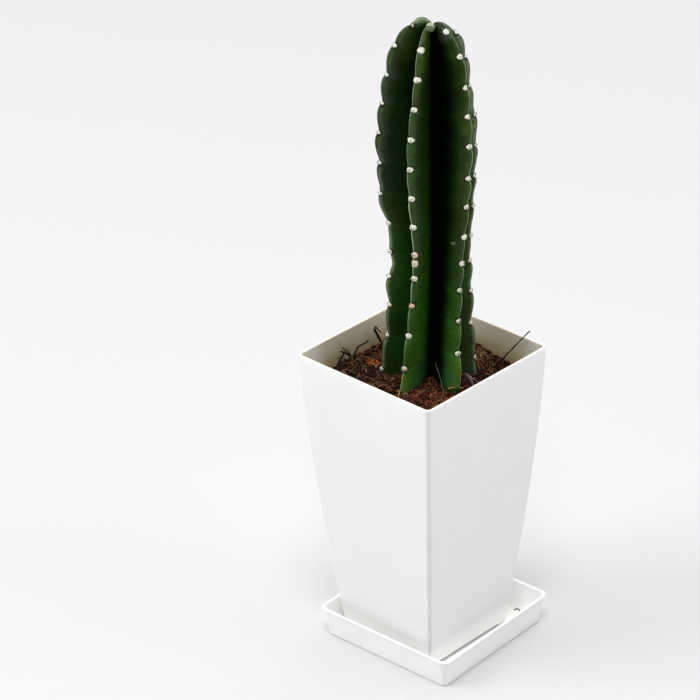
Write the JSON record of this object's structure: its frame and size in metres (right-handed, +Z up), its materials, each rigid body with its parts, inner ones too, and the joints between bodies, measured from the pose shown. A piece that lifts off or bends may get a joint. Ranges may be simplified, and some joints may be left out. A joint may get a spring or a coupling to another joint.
{
  "type": "potted column cactus",
  "caption": "Ribbed column cactus with woolly areoles and short spines, rooted in soil under coconut fibre mulch in a tall square plastic pot that stands in a square saucer.",
  "frame": {"origin": "on the ground, under the pot's vertical axis, at the height of the saucer's underside", "axes": "+Z up along the stem; +X and +Y square to the pot's sides"},
  "size_m": [0.124, 0.1237, 0.4584],
  "materials": {
    "saucer": "satin",
    "pot": "satin",
    "potting_soil": "matte",
    "coir_mulch": "matte",
    "cactus": "satin"
  },
  "bodies": {
    "root": {"saucer": "saucer", "pot": "pot", "potting_soil": "potting_soil", "coir_mulch": "coir_mulch", "cactus": "cactus"}
  },
  "joints": []
}
